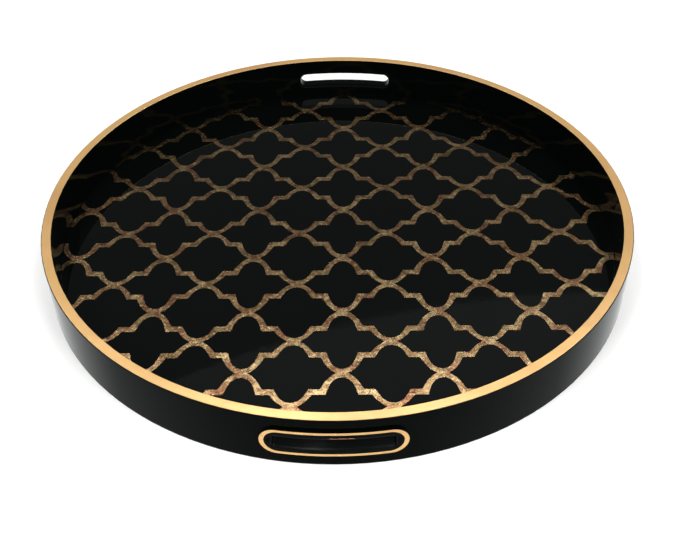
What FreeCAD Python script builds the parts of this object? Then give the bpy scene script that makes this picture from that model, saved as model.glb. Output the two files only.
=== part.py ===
import FreeCAD, Part
import math
import os
from FreeCAD import Vector

os.makedirs("parts", exist_ok=True)

# Round serving tray, millimetres.
# +Z is up, the tray stands on Z = 0, the origin is the centre of its foot ring.
# The front hand slot is on -Y.

# overall
OUTER_R = 203.2          # lacquered outer wall, 16 in across
HEIGHT = 38.1            # 1.5 in
FOOT_ROUND = 0.8         # rounded lower edges of the wall

# gilded rim that caps the wall
RIM_INNER_R = 196.7      # where the inner wall meets the top plane
RIM_OUTER_R = 202.7
RIM_THICK = 0.3
RIM_INNER_ROUND = 0.25
RIM_OUTER_ROUND = 0.25
WALL_TOP_ROUND = 0.45    # black shoulder below the outer edge of the rim

# floor
FLOOR_Z = 7.85           # top of the black sheet
FLOOR_R = 195.4          # inner wall at floor height
SHEET_THICK = 0.5
SHEET_R = 195.25
BOARD_R = 197.0          # board let into a rebate of the wall
BOARD_RECESS = 1.2       # underside of the board above the table
FOIL_THICK = 0.1
FOIL_R = 195.0

# finger slots, one at the front and one at the back
SLOT_WIDTH = 75.5
SLOT_HEIGHT = 10.2
SLOT_Z = 20.1            # middle of the slot
SLOT_MOUTH_ROUND = 2.0   # rounding where the slot opens into the well
FRONT_SLOT_TURN = 0.0    # degrees about Z from -Y
REAR_SLOT_TURN = 178.55  # the back slot sits slightly off the opposite point

# raised black bezel round each slot, and the gilded edging on its face
BEZEL_PROUD = 1.9
BEZEL_WIDTH = 85.3
BEZEL_HEIGHT = 19.9
BEZEL_LEAD_IN = 0.3      # rounding from the face into the slot
BEZEL_EDGE_ROUND = 0.4
EDGING_PROUD = 0.2
EDGING_WIDTH = 84.9
EDGING_HEIGHT = 19.5
EDGING_END_BAND = 2.7    # width of the band round the two ends
EDGING_SIDE_BAND = 1.6   # width of the band above and below the slot
EDGING_ROUND = 0.1

# gold trellis: cells of two kinds stand in alternate columns
HALF_PITCH_X = 31.1
HALF_PITCH_Y = 27.6
TRELLIS_SHIFT = Vector(4.1, -0.5, 0)
SMALLEST_STRIP = 5.0     # mm2, smaller scraps at the edge of the floor are left out

# upper right quarter of each cell in half pitches, from the crown of the lobe
# to the shoulder, along the shoulder, and down to the side tip
TALL_LOBE = [(0.0, 0.868), (0.090, 0.842), (0.168, 0.776), (0.256, 0.600), (0.321, 0.352)]
TALL_TIP = [(0.586, 0.352), (0.641, 0.254), (0.705, 0.163), (0.784, 0.077), (0.870, 0.0)]
WIDE_LOBE = [(0.0, 0.880), (0.088, 0.861), (0.171, 0.806), (0.244, 0.700), (0.342, 0.486)]
WIDE_TIP = [(0.566, 0.486), (0.612, 0.383), (0.674, 0.248), (0.762, 0.113), (0.880, 0.0)]
SHOULDER_ROUND = 0.8     # softened corners at both ends of each shoulder

DRAFT = (RIM_INNER_R - FLOOR_R) / (HEIGHT - FLOOR_Z)
BOARD_TOP = FLOOR_Z - SHEET_THICK
WALL_TOP = HEIGHT - RIM_THICK


def inner_radius(z):
    """Radius of the sloping inner wall at height z."""
    return FLOOR_R + DRAFT * (z - FLOOR_Z)


def revolve(points):
    """Solid of revolution about Z from (radius, z) corners."""
    corners = [Vector(r, 0, z) for r, z in points]
    face = Part.Face(Part.makePolygon(corners + [corners[0]]))
    return face.revolve(Vector(0, 0, 0), Vector(0, 0, 1), 360)


def disc(radius, low, high):
    return Part.makeCylinder(radius, high - low, Vector(0, 0, low))


def tube(inner, outer, low, high):
    return disc(outer, low, high).cut(disc(inner, low - 1, high + 1))


def stadium_bar(width, height, near, far):
    """Bar with half-round ends along -Y, from distance near to distance far."""
    end_r = height / 2
    half = width / 2 - end_r
    low = SLOT_Z - end_r
    high = SLOT_Z + end_r
    outline = Part.Wire([
        Part.makeLine(Vector(-half, 0, low), Vector(half, 0, low)),
        Part.Arc(Vector(half, 0, low), Vector(half + end_r, 0, SLOT_Z), Vector(half, 0, high)).toShape(),
        Part.makeLine(Vector(half, 0, high), Vector(-half, 0, high)),
        Part.Arc(Vector(-half, 0, high), Vector(-half - end_r, 0, SLOT_Z), Vector(-half, 0, low)).toShape(),
    ])
    bar = Part.Face(outline).extrude(Vector(0, -(far - near), 0))
    bar.translate(Vector(0, -near, 0))
    return bar


def turned(shape, angle):
    copy = shape.copy()
    copy.rotate(Vector(0, 0, 0), Vector(0, 0, 1), angle)
    return copy


def edges_at_radius(shape, radius, low, high, reach):
    """Edges that lie on a cylinder of this radius, with their middle inside a box."""
    found = []
    for edge in shape.Edges:
        box = edge.BoundBox
        if box.ZMin < low or box.ZMax > high or max(abs(box.XMin), abs(box.XMax)) > reach:
            continue
        points = edge.discretize(7)
        if all(abs(math.hypot(p.x, p.y) - radius) < 0.01 for p in points):
            found.append(edge)
    return found


def edges_on_inner_wall(shape):
    """Edges of the slot mouths that lie on the sloping inner wall."""
    found = []
    for edge in shape.Edges:
        box = edge.BoundBox
        if box.ZMin < SLOT_Z - SLOT_HEIGHT or box.ZMax > SLOT_Z + SLOT_HEIGHT:
            continue
        points = edge.discretize(7)
        if all(abs(math.hypot(p.x, p.y) - inner_radius(p.z)) < 0.01 for p in points):
            found.append(edge)
    return found


def make_wall_ring():
    """Bent hoop: outer wall, sloping inner wall, rebate for the board, two slots."""
    wall = revolve([
        (BOARD_R, 0),
        (OUTER_R, 0),
        (OUTER_R, WALL_TOP),
        (inner_radius(WALL_TOP), WALL_TOP),
        (inner_radius(BOARD_TOP), BOARD_TOP),
        (BOARD_R, BOARD_TOP),
    ])
    feet = [e for e in wall.Edges if e.BoundBox.ZMax < 0.01 and e.BoundBox.XMax > BOARD_R - 1]
    wall = wall.makeFillet(FOOT_ROUND, feet)
    top = [e for e in wall.Edges if e.BoundBox.ZMin > WALL_TOP - 0.01 and e.BoundBox.XMax > OUTER_R - 1]
    wall = wall.makeFillet(WALL_TOP_ROUND, top)
    slot = stadium_bar(SLOT_WIDTH, SLOT_HEIGHT, 150, OUTER_R + 10)
    for angle in (FRONT_SLOT_TURN, REAR_SLOT_TURN):
        wall = wall.cut(turned(slot, angle))
    return wall.makeFillet(SLOT_MOUTH_ROUND, edges_on_inner_wall(wall))


def make_rim_band():
    """Gilded cap on the wall with rounded edges."""
    band = revolve([
        (inner_radius(WALL_TOP), WALL_TOP),
        (RIM_OUTER_R, WALL_TOP),
        (RIM_OUTER_R, HEIGHT),
        (RIM_INNER_R, HEIGHT),
    ])
    middle_r = (RIM_INNER_R + RIM_OUTER_R) / 2
    top = [e for e in band.Edges if e.BoundBox.ZMin > HEIGHT - 0.01 and e.BoundBox.XLength > 1]
    outer = [e for e in top if e.BoundBox.XMax > middle_r]
    band = band.makeFillet(RIM_OUTER_ROUND, outer)
    inner = [e for e in band.Edges
             if abs(e.BoundBox.XMax - RIM_INNER_R) < 0.01 and e.BoundBox.ZMin > HEIGHT - 0.01]
    return band.makeFillet(RIM_INNER_ROUND, inner)


def make_bezel():
    """Raised black frame round a slot, rounded into it; drawn at the front."""
    face_r = OUTER_R + BEZEL_PROUD
    frame = tube(OUTER_R, face_r, 0, HEIGHT)
    frame = frame.common(stadium_bar(BEZEL_WIDTH, BEZEL_HEIGHT, 150, OUTER_R + 10))
    frame = frame.cut(stadium_bar(SLOT_WIDTH, SLOT_HEIGHT, 150, OUTER_R + 10))
    low = SLOT_Z - SLOT_HEIGHT / 2 - 0.1
    high = SLOT_Z + SLOT_HEIGHT / 2 + 0.1
    mouth = edges_at_radius(frame, face_r, low, high, SLOT_WIDTH / 2 + 0.1)
    frame = frame.makeFillet(BEZEL_LEAD_IN, mouth)
    rounded = []
    for edge in edges_at_radius(frame, face_r, 0, HEIGHT, BEZEL_WIDTH):
        box = edge.BoundBox
        high_or_low = max(box.ZMax - SLOT_Z, SLOT_Z - box.ZMin) > BEZEL_HEIGHT / 2 - 0.1
        if high_or_low:
            rounded.append(edge)
    return frame.makeFillet(BEZEL_EDGE_ROUND, rounded)


def make_edging():
    """Gilded band on the face of the bezel."""
    back_r = OUTER_R + BEZEL_PROUD
    face_r = back_r + EDGING_PROUD
    band = tube(back_r, face_r, 0, HEIGHT)
    band = band.common(stadium_bar(EDGING_WIDTH, EDGING_HEIGHT, 150, OUTER_R + 10))
    hole_width = EDGING_WIDTH - 2 * EDGING_END_BAND
    hole_height = EDGING_HEIGHT - 2 * EDGING_SIDE_BAND
    band = band.cut(stadium_bar(hole_width, hole_height, 150, OUTER_R + 10))
    return band.makeFillet(EDGING_ROUND, edges_at_radius(band, face_r, 0, HEIGHT, EDGING_WIDTH))


def scaled(points, flip_x, flip_y):
    return [Vector(flip_x * u * HALF_PITCH_X, flip_y * v * HALF_PITCH_Y, 0) for u, v in points]


def smooth(points):
    curve = Part.BSplineCurve()
    curve.interpolate(points)
    return curve.toShape()


def make_cell(lobe, tip):
    """One opening of the trellis: two round lobes, four shoulders, two pointed sides."""
    edges = []
    corners = []
    for side_y in (1, -1):
        left = scaled(lobe, -1, side_y)
        right = scaled(lobe, 1, side_y)
        edges.append(smooth(left[:0:-1] + right))
        for side_x in (1, -1):
            shoulder = scaled([lobe[-1], tip[0]], side_x, side_y)
            edges.append(Part.makeLine(shoulder[0], shoulder[1]))
            edges.append(smooth(scaled(tip, side_x, side_y)))
            corners.extend(shoulder)
    block = Part.Face(Part.Wire(Part.__sortEdges__(edges))).extrude(Vector(0, 0, 1))
    sharp = []
    for edge in block.Edges:
        middle = edge.BoundBox.Center
        near_corner = min(math.hypot(middle.x - c.x, middle.y - c.y) for c in corners) < 0.1
        if edge.BoundBox.ZLength > 0.9 and near_corner:
            sharp.append(edge)
    block = block.makeFillet(SHOULDER_ROUND, sharp)
    return next(f for f in block.Faces if f.BoundBox.ZMax < 0.01)


def make_lattice_foil():
    """Trellis of gold leaf: a disc less every cell, cut off at the edge of the floor."""
    tall = make_cell(TALL_LOBE, TALL_TIP)
    wide = make_cell(WIDE_LOBE, WIDE_TIP)
    cells = []
    columns = int(FOIL_R / HALF_PITCH_X) + 2
    rows = int(FOIL_R / HALF_PITCH_Y) + 2
    for column in range(-columns, columns + 1):
        for row in range(-rows, rows + 1):
            if (column + row) % 2:
                continue
            centre = Vector(column * HALF_PITCH_X, row * HALF_PITCH_Y, 0) + TRELLIS_SHIFT
            if centre.Length > FOIL_R + HALF_PITCH_X:
                continue
            cell = (wide if column % 2 else tall).copy()
            cell.translate(centre + Vector(0, 0, FLOOR_Z))
            cells.append(cell)
    outline = Part.Wire(Part.makeCircle(FOIL_R, Vector(0, 0, FLOOR_Z)))
    flat = Part.Face(outline).cut(Part.Compound(cells))
    strips = [face for face in flat.Faces if face.Area > SMALLEST_STRIP]
    return Part.Compound([face.extrude(Vector(0, 0, FOIL_THICK)) for face in strips])


bezel = make_bezel()
edging = make_edging()
nodes = {
    "wall_ring": make_wall_ring(),
    "rim_band": make_rim_band(),
    "floor_board": disc(BOARD_R, BOARD_RECESS, BOARD_TOP),
    "floor_sheet": disc(SHEET_R, BOARD_TOP, FLOOR_Z),
    "lattice_foil": make_lattice_foil(),
    "slot_bezel_front": turned(bezel, FRONT_SLOT_TURN),
    "slot_bezel_rear": turned(bezel, REAR_SLOT_TURN),
    "slot_edging_front": turned(edging, FRONT_SLOT_TURN),
    "slot_edging_rear": turned(edging, REAR_SLOT_TURN),
}

for name, shape in nodes.items():
    shape.exportStep("parts/" + name + ".step")
    box = shape.BoundBox
    print(name, "valid", shape.isValid(), "solids", len(shape.Solids), "faces", len(shape.Faces),
          "volume %.1f" % shape.Volume,
          "z %.2f..%.2f" % (box.ZMin, box.ZMax), "y %.2f..%.2f" % (box.YMin, box.YMax))
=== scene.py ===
import math

import bpy
from mathutils import Matrix, Vector

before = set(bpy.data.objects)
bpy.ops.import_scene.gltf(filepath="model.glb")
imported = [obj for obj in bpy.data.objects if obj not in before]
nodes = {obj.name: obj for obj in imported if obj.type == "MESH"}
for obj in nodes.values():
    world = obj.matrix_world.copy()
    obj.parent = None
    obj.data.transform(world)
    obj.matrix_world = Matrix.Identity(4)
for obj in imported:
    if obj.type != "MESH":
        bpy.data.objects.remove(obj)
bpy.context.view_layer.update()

# colours, linear RGBA
GOLD_PAINT = (0.98, 0.60, 0.24, 1.0)
GOLD_DEEP = (0.85, 0.48, 0.20, 1.0)
LEAF_LIGHT = (1.00, 0.71, 0.35, 1.0)
LEAF_MIDDLE = (0.57, 0.33, 0.155, 1.0)
LEAF_RED = (0.44, 0.17, 0.09, 1.0)
LEAF_OLIVE = (0.25, 0.21, 0.08, 1.0)
LEAF_DARK = (0.06, 0.035, 0.018, 1.0)
LACQUER = (0.0010, 0.0018, 0.0014, 1.0)
DUST = (0.10, 0.10, 0.095, 1.0)
UNDERSIDE = (0.010, 0.010, 0.011, 1.0)
UNDERSIDE_SCUFF = (0.026, 0.025, 0.024, 1.0)
PAPER_LOW = (0.80, 0.80, 0.79, 1.0)
PAPER_HIGH = (0.86, 0.86, 0.85, 1.0)

# studio, metres
PAPER_HALF = 4.0
PAPER_GLOW = 0.26
WORLD_TINT = (1.0, 1.03, 1.02)

# camera: degrees, metres and millimetres
CAMERA_TURN = 1.1
CAMERA_PLACE = (0.0006, -0.5680, 0.4614)
CAMERA_PAN = 0.13
CAMERA_TILT = 49.34
CAMERA_ROLL = -1.15
CAMERA_LENS = 53.83
CAMERA_SENSOR = 36.0


# ---- material helpers -------------------------------------------------------

class Nodes:
    """Short names for building one material's node tree in object coordinates."""

    def __init__(self, material):
        material.use_nodes = True
        self.tree = material.node_tree
        self.tree.nodes.clear()
        self.output = self.tree.nodes.new("ShaderNodeOutputMaterial")
        self.shader = self.tree.nodes.new("ShaderNodeBsdfPrincipled")
        self.join(self.shader.outputs["BSDF"], self.output.inputs["Surface"])
        coordinates = self.tree.nodes.new("ShaderNodeTexCoord")
        self.place = coordinates.outputs["Object"]

    def join(self, source, target):
        self.tree.links.new(source, target)

    def set(self, socket, value):
        self.shader.inputs[socket].default_value = value

    def noise(self, scale, detail=4.0, roughness=0.55, stretch=(1, 1, 1), distortion=0.0):
        mapping = self.tree.nodes.new("ShaderNodeMapping")
        mapping.inputs["Scale"].default_value = stretch
        self.join(self.place, mapping.inputs["Vector"])
        texture = self.tree.nodes.new("ShaderNodeTexNoise")
        texture.inputs["Scale"].default_value = scale
        texture.inputs["Detail"].default_value = detail
        texture.inputs["Roughness"].default_value = roughness
        texture.inputs["Distortion"].default_value = distortion
        self.join(mapping.outputs["Vector"], texture.inputs["Vector"])
        return texture.outputs["Fac"]

    def cells(self, scale):
        texture = self.tree.nodes.new("ShaderNodeTexVoronoi")
        texture.inputs["Scale"].default_value = scale
        self.join(self.place, texture.inputs["Vector"])
        return texture.outputs["Distance"]

    def band(self, value, low, high, from_value=0.0, to_value=1.0):
        remap = self.tree.nodes.new("ShaderNodeMapRange")
        remap.interpolation_type = "SMOOTHSTEP"
        remap.inputs["From Min"].default_value = low
        remap.inputs["From Max"].default_value = high
        remap.inputs["To Min"].default_value = from_value
        remap.inputs["To Max"].default_value = to_value
        self.join(value, remap.inputs["Value"])
        return remap.outputs["Result"]

    def times(self, a, b):
        product = self.tree.nodes.new("ShaderNodeMath")
        product.operation = "MULTIPLY"
        for socket, value in zip(product.inputs, (a, b)):
            if isinstance(value, (int, float)):
                socket.default_value = value
            else:
                self.join(value, socket)
        return product.outputs["Value"]

    def mix(self, factor, a, b):
        blend = self.tree.nodes.new("ShaderNodeMix")
        blend.data_type = "RGBA"
        self.join(factor, blend.inputs["Factor"])
        for socket, value in ((blend.inputs["A"], a), (blend.inputs["B"], b)):
            if isinstance(value, tuple):
                socket.default_value = value
            else:
                self.join(value, socket)
        return blend.outputs["Result"]

    def bump(self, height, strength, distance):
        relief = self.tree.nodes.new("ShaderNodeBump")
        relief.inputs["Strength"].default_value = strength
        relief.inputs["Distance"].default_value = distance
        self.join(height, relief.inputs["Height"])
        self.join(relief.outputs["Normal"], self.shader.inputs["Normal"])


def lacquer(name, gloss_low, gloss_high, specular):
    """Polished black lacquer with faint orange peel, patches of haze and dust specks."""
    material = bpy.data.materials.new(name)
    n = Nodes(material)
    haze = n.noise(9, detail=3)
    dust = n.band(n.cells(420), 0.05, 0.02)
    dust = n.times(dust, n.band(n.noise(38), 0.58, 0.66))
    n.join(n.mix(n.times(dust, 0.35), LACQUER, DUST), n.shader.inputs["Base Color"])
    n.join(n.band(haze, 0.35, 0.70, gloss_low, gloss_high), n.shader.inputs["Roughness"])
    n.set("Specular IOR Level", specular)
    n.bump(n.noise(170, detail=2), 0.05, 0.0002)
    return material


def satin_black(name):
    """Painted underside: fibre grain under thin satin paint, with long scuffs."""
    material = bpy.data.materials.new(name)
    n = Nodes(material)
    scuffs = n.band(n.noise(26, detail=6, stretch=(1, 5, 1)), 0.58, 0.72)
    n.join(n.mix(scuffs, UNDERSIDE, UNDERSIDE_SCUFF), n.shader.inputs["Base Color"])
    n.join(n.band(n.noise(60, detail=5), 0.3, 0.7, 0.36, 0.55), n.shader.inputs["Roughness"])
    n.bump(n.noise(900, detail=3), 0.25, 0.0002)
    return material


def gold_paint(name, metal, rough):
    """Satin gilding under clear varnish: slow tone changes and very fine relief."""
    material = bpy.data.materials.new(name)
    n = Nodes(material)
    tone = n.band(n.noise(14, detail=4), 0.45, 0.75)
    fine = n.band(n.noise(260, detail=3), 0.40, 0.80)
    colour = n.mix(n.times(tone, 0.7), GOLD_PAINT, GOLD_DEEP)
    n.join(n.mix(n.times(fine, 0.15), colour, GOLD_DEEP), n.shader.inputs["Base Color"])
    n.set("Metallic", metal)
    n.join(n.band(n.noise(120, detail=3), 0.3, 0.7, rough, rough + 0.04), n.shader.inputs["Roughness"])
    n.set("Coat Weight", 0.6)
    n.set("Coat Roughness", 0.08)
    n.bump(n.noise(420, detail=3), 0.02, 0.0002)
    return material


def gold_leaf(name):
    """Mottled antique leaf: patches of light, reddish and olive gold, worn to dark specks."""
    material = bpy.data.materials.new(name)
    n = Nodes(material)
    pale = n.band(n.noise(120, detail=6, roughness=0.6, distortion=0.6), 0.40, 0.57)
    patch = n.band(n.noise(45, detail=3), 0.38, 0.60, 0.45, 1.0)
    red = n.band(n.noise(80, detail=6, roughness=0.65, distortion=0.8), 0.50, 0.60)
    olive = n.band(n.noise(66, detail=6, roughness=0.65, distortion=0.8), 0.54, 0.64)
    specks = n.band(n.noise(460, detail=3, roughness=0.6), 0.56, 0.68)
    worn = n.times(specks, n.band(n.noise(85, detail=5), 0.42, 0.62, 0.10, 1.0))
    pale = n.times(pale, patch)
    colour = n.mix(pale, LEAF_MIDDLE, LEAF_LIGHT)
    colour = n.mix(n.times(red, 0.75), colour, LEAF_RED)
    colour = n.mix(n.times(olive, 0.55), colour, LEAF_OLIVE)
    colour = n.mix(n.times(worn, 0.8), colour, LEAF_DARK)
    n.join(colour, n.shader.inputs["Base Color"])
    n.set("Metallic", 1.0)
    n.join(n.band(n.noise(400, detail=4), 0.3, 0.7, 0.18, 0.28), n.shader.inputs["Roughness"])
    n.set("Coat Weight", 1.0)
    n.set("Coat Roughness", 0.04)
    n.bump(n.noise(300, detail=3, roughness=0.5), 0.05, 0.0003)
    return material


def studio_paper(name):
    """Pale paper that glows a little, so that it stays white far from the lights."""
    material = bpy.data.materials.new(name)
    n = Nodes(material)
    n.join(n.mix(n.noise(3, detail=6), PAPER_LOW, PAPER_HIGH), n.shader.inputs["Base Color"])
    n.set("Roughness", 0.8)
    n.set("Specular IOR Level", 0.2)
    n.set("Emission Color", (1.0, 1.0, 1.0, 1.0))
    n.set("Emission Strength", PAPER_GLOW)
    return material


def wear(node_names, material):
    """Put one material on each named node."""
    for node_name in node_names:
        slots = nodes[node_name].data.materials
        slots.clear()
        slots.append(material)


wear(["wall_ring"], lacquer("wall_lacquer", 0.04, 0.08, 0.15))
wear(["slot_bezel_front", "slot_bezel_rear"], lacquer("bezel_lacquer", 0.05, 0.10, 0.25))
wear(["floor_sheet"], lacquer("floor_lacquer", 0.02, 0.05, 0.5))
wear(["floor_board"], satin_black("underside_paint"))
wear(["rim_band"], gold_paint("rim_gilding", 0.55, 0.20))
wear(["slot_edging_front", "slot_edging_rear"], gold_paint("edging_gilding", 0.2, 0.24))
wear(["lattice_foil"], gold_leaf("trellis_leaf"))


# ---- stage, light and camera ------------------------------------------------

def add_floor():
    """Paper under the tray, left out of mirror reflections."""
    half = PAPER_HALF
    corners = [(-half, -half, 0), (half, -half, 0), (half, half, 0), (-half, half, 0)]
    mesh = bpy.data.meshes.new("studio_floor")
    mesh.from_pydata(corners, [], [(0, 1, 2, 3)])
    floor = bpy.data.objects.new("studio_floor", mesh)
    bpy.context.scene.collection.objects.link(floor)
    mesh.materials.append(studio_paper("studio_paper"))
    floor.visible_glossy = False


def add_panel(name, place, aim, size, radiance, shape="RECTANGLE", mirrored=True):
    """Area light of a given brightness: its power is radiance times pi times its area."""
    light = bpy.data.lights.new(name, "AREA")
    light.shape = shape
    light.size = size[0]
    light.size_y = size[1]
    area = size[0] * size[1]
    if shape in ("DISK", "ELLIPSE"):
        area *= math.pi / 4
    light.energy = radiance * math.pi * area
    lamp = bpy.data.objects.new(name, light)
    bpy.context.scene.collection.objects.link(lamp)
    lamp.location = place
    lamp.visible_glossy = mirrored
    lamp.rotation_euler = (Vector(aim) - Vector(place)).to_track_quat("-Z", "Y").to_euler()


def add_world():
    """Surroundings: bright near the horizon and dim above; below it, dark in front and bright behind."""
    world = bpy.data.worlds.new("studio")
    bpy.context.scene.world = world
    world.use_nodes = True
    tree = world.node_tree
    tree.nodes.clear()

    def ramp(value, low, high, stops):
        """Grey level that follows a value from low to high through (value, level) stops."""
        spread = tree.nodes.new("ShaderNodeMapRange")
        spread.inputs["From Min"].default_value = low
        spread.inputs["From Max"].default_value = high
        tree.links.new(value, spread.inputs["Value"])
        node = tree.nodes.new("ShaderNodeValToRGB")
        while len(node.color_ramp.elements) < len(stops):
            node.color_ramp.elements.new(0.5)
        for element, (at, level) in zip(node.color_ramp.elements, stops):
            element.position = (at - low) / (high - low)
            element.color = (*(level * share for share in WORLD_TINT), 1.0)
        tree.links.new(spread.outputs["Result"], node.inputs["Fac"])
        return node.outputs["Color"]

    coordinates = tree.nodes.new("ShaderNodeTexCoord")
    split = tree.nodes.new("ShaderNodeSeparateXYZ")
    tree.links.new(coordinates.outputs["Generated"], split.inputs["Vector"])
    above = ramp(split.outputs["Z"], 0, 1,
                 [(0.0, 0.80), (0.18, 0.60), (0.42, 0.10), (0.55, 0.075), (1.0, 0.09)])
    below = ramp(split.outputs["Y"], -1, 1,
                 [(-0.77, 0.11), (-0.4, 0.26), (0.1, 0.36), (0.5, 0.85), (0.9, 1.0)])
    depth = ramp(split.outputs["Z"], -1, 0, [(-0.30, 1.0), (-0.05, 0.0)])
    blend = tree.nodes.new("ShaderNodeMix")
    blend.data_type = "RGBA"
    tree.links.new(depth, blend.inputs["Factor"])
    tree.links.new(above, blend.inputs["A"])
    tree.links.new(below, blend.inputs["B"])
    background = tree.nodes.new("ShaderNodeBackground")
    output = tree.nodes.new("ShaderNodeOutputWorld")
    tree.links.new(blend.outputs["Result"], background.inputs["Color"])
    tree.links.new(background.outputs["Background"], output.inputs["Surface"])


def add_camera():
    """Raised front view, a little to the right of the front slot."""
    data = bpy.data.cameras.new("camera")
    data.sensor_width = CAMERA_SENSOR
    data.lens = CAMERA_LENS
    camera = bpy.data.objects.new("camera", data)
    bpy.context.scene.collection.objects.link(camera)
    place = Matrix.Rotation(math.radians(CAMERA_TURN), 4, "Z") @ Matrix.Translation(CAMERA_PLACE)
    pan = Matrix.Rotation(math.radians(CAMERA_PAN), 4, "Z")
    tilt = Matrix.Rotation(math.radians(CAMERA_TILT), 4, "X")
    roll = Matrix.Rotation(math.radians(CAMERA_ROLL), 4, "Z")
    aim = pan @ tilt @ roll
    camera.matrix_world = place @ aim
    bpy.context.scene.camera = camera


add_floor()
add_world()
add_panel("ceiling", (0.77, -0.81, 1.5), (0.77, -0.81, 0), (4.8, 4.8), 0.10, shape="DISK")
add_panel("key_left", (-0.20, 0.70, 1.43), (0, 0, 0), (0.35, 0.30), 9.0)
add_panel("key_right", (0.24, 0.70, 1.43), (0, 0, 0), (0.35, 0.30), 9.0)
add_panel("side_left", (-0.75, 0.85, 1.45), (0, 0, 0), (0.35, 0.30), 7.0)
add_panel("side_right", (0.72, 0.85, 1.45), (0, 0, 0), (0.35, 0.30), 9.0)
add_panel("front_left", (-0.80, -0.85, 1.50), (0, 0, 0), (0.7, 0.8), 11.0, mirrored=False)
add_panel("front_right", (0.75, -0.85, 1.50), (0, 0, 0), (0.7, 0.8), 11.0, mirrored=False)
add_camera()

bpy.context.scene.view_settings.view_transform = "Standard"
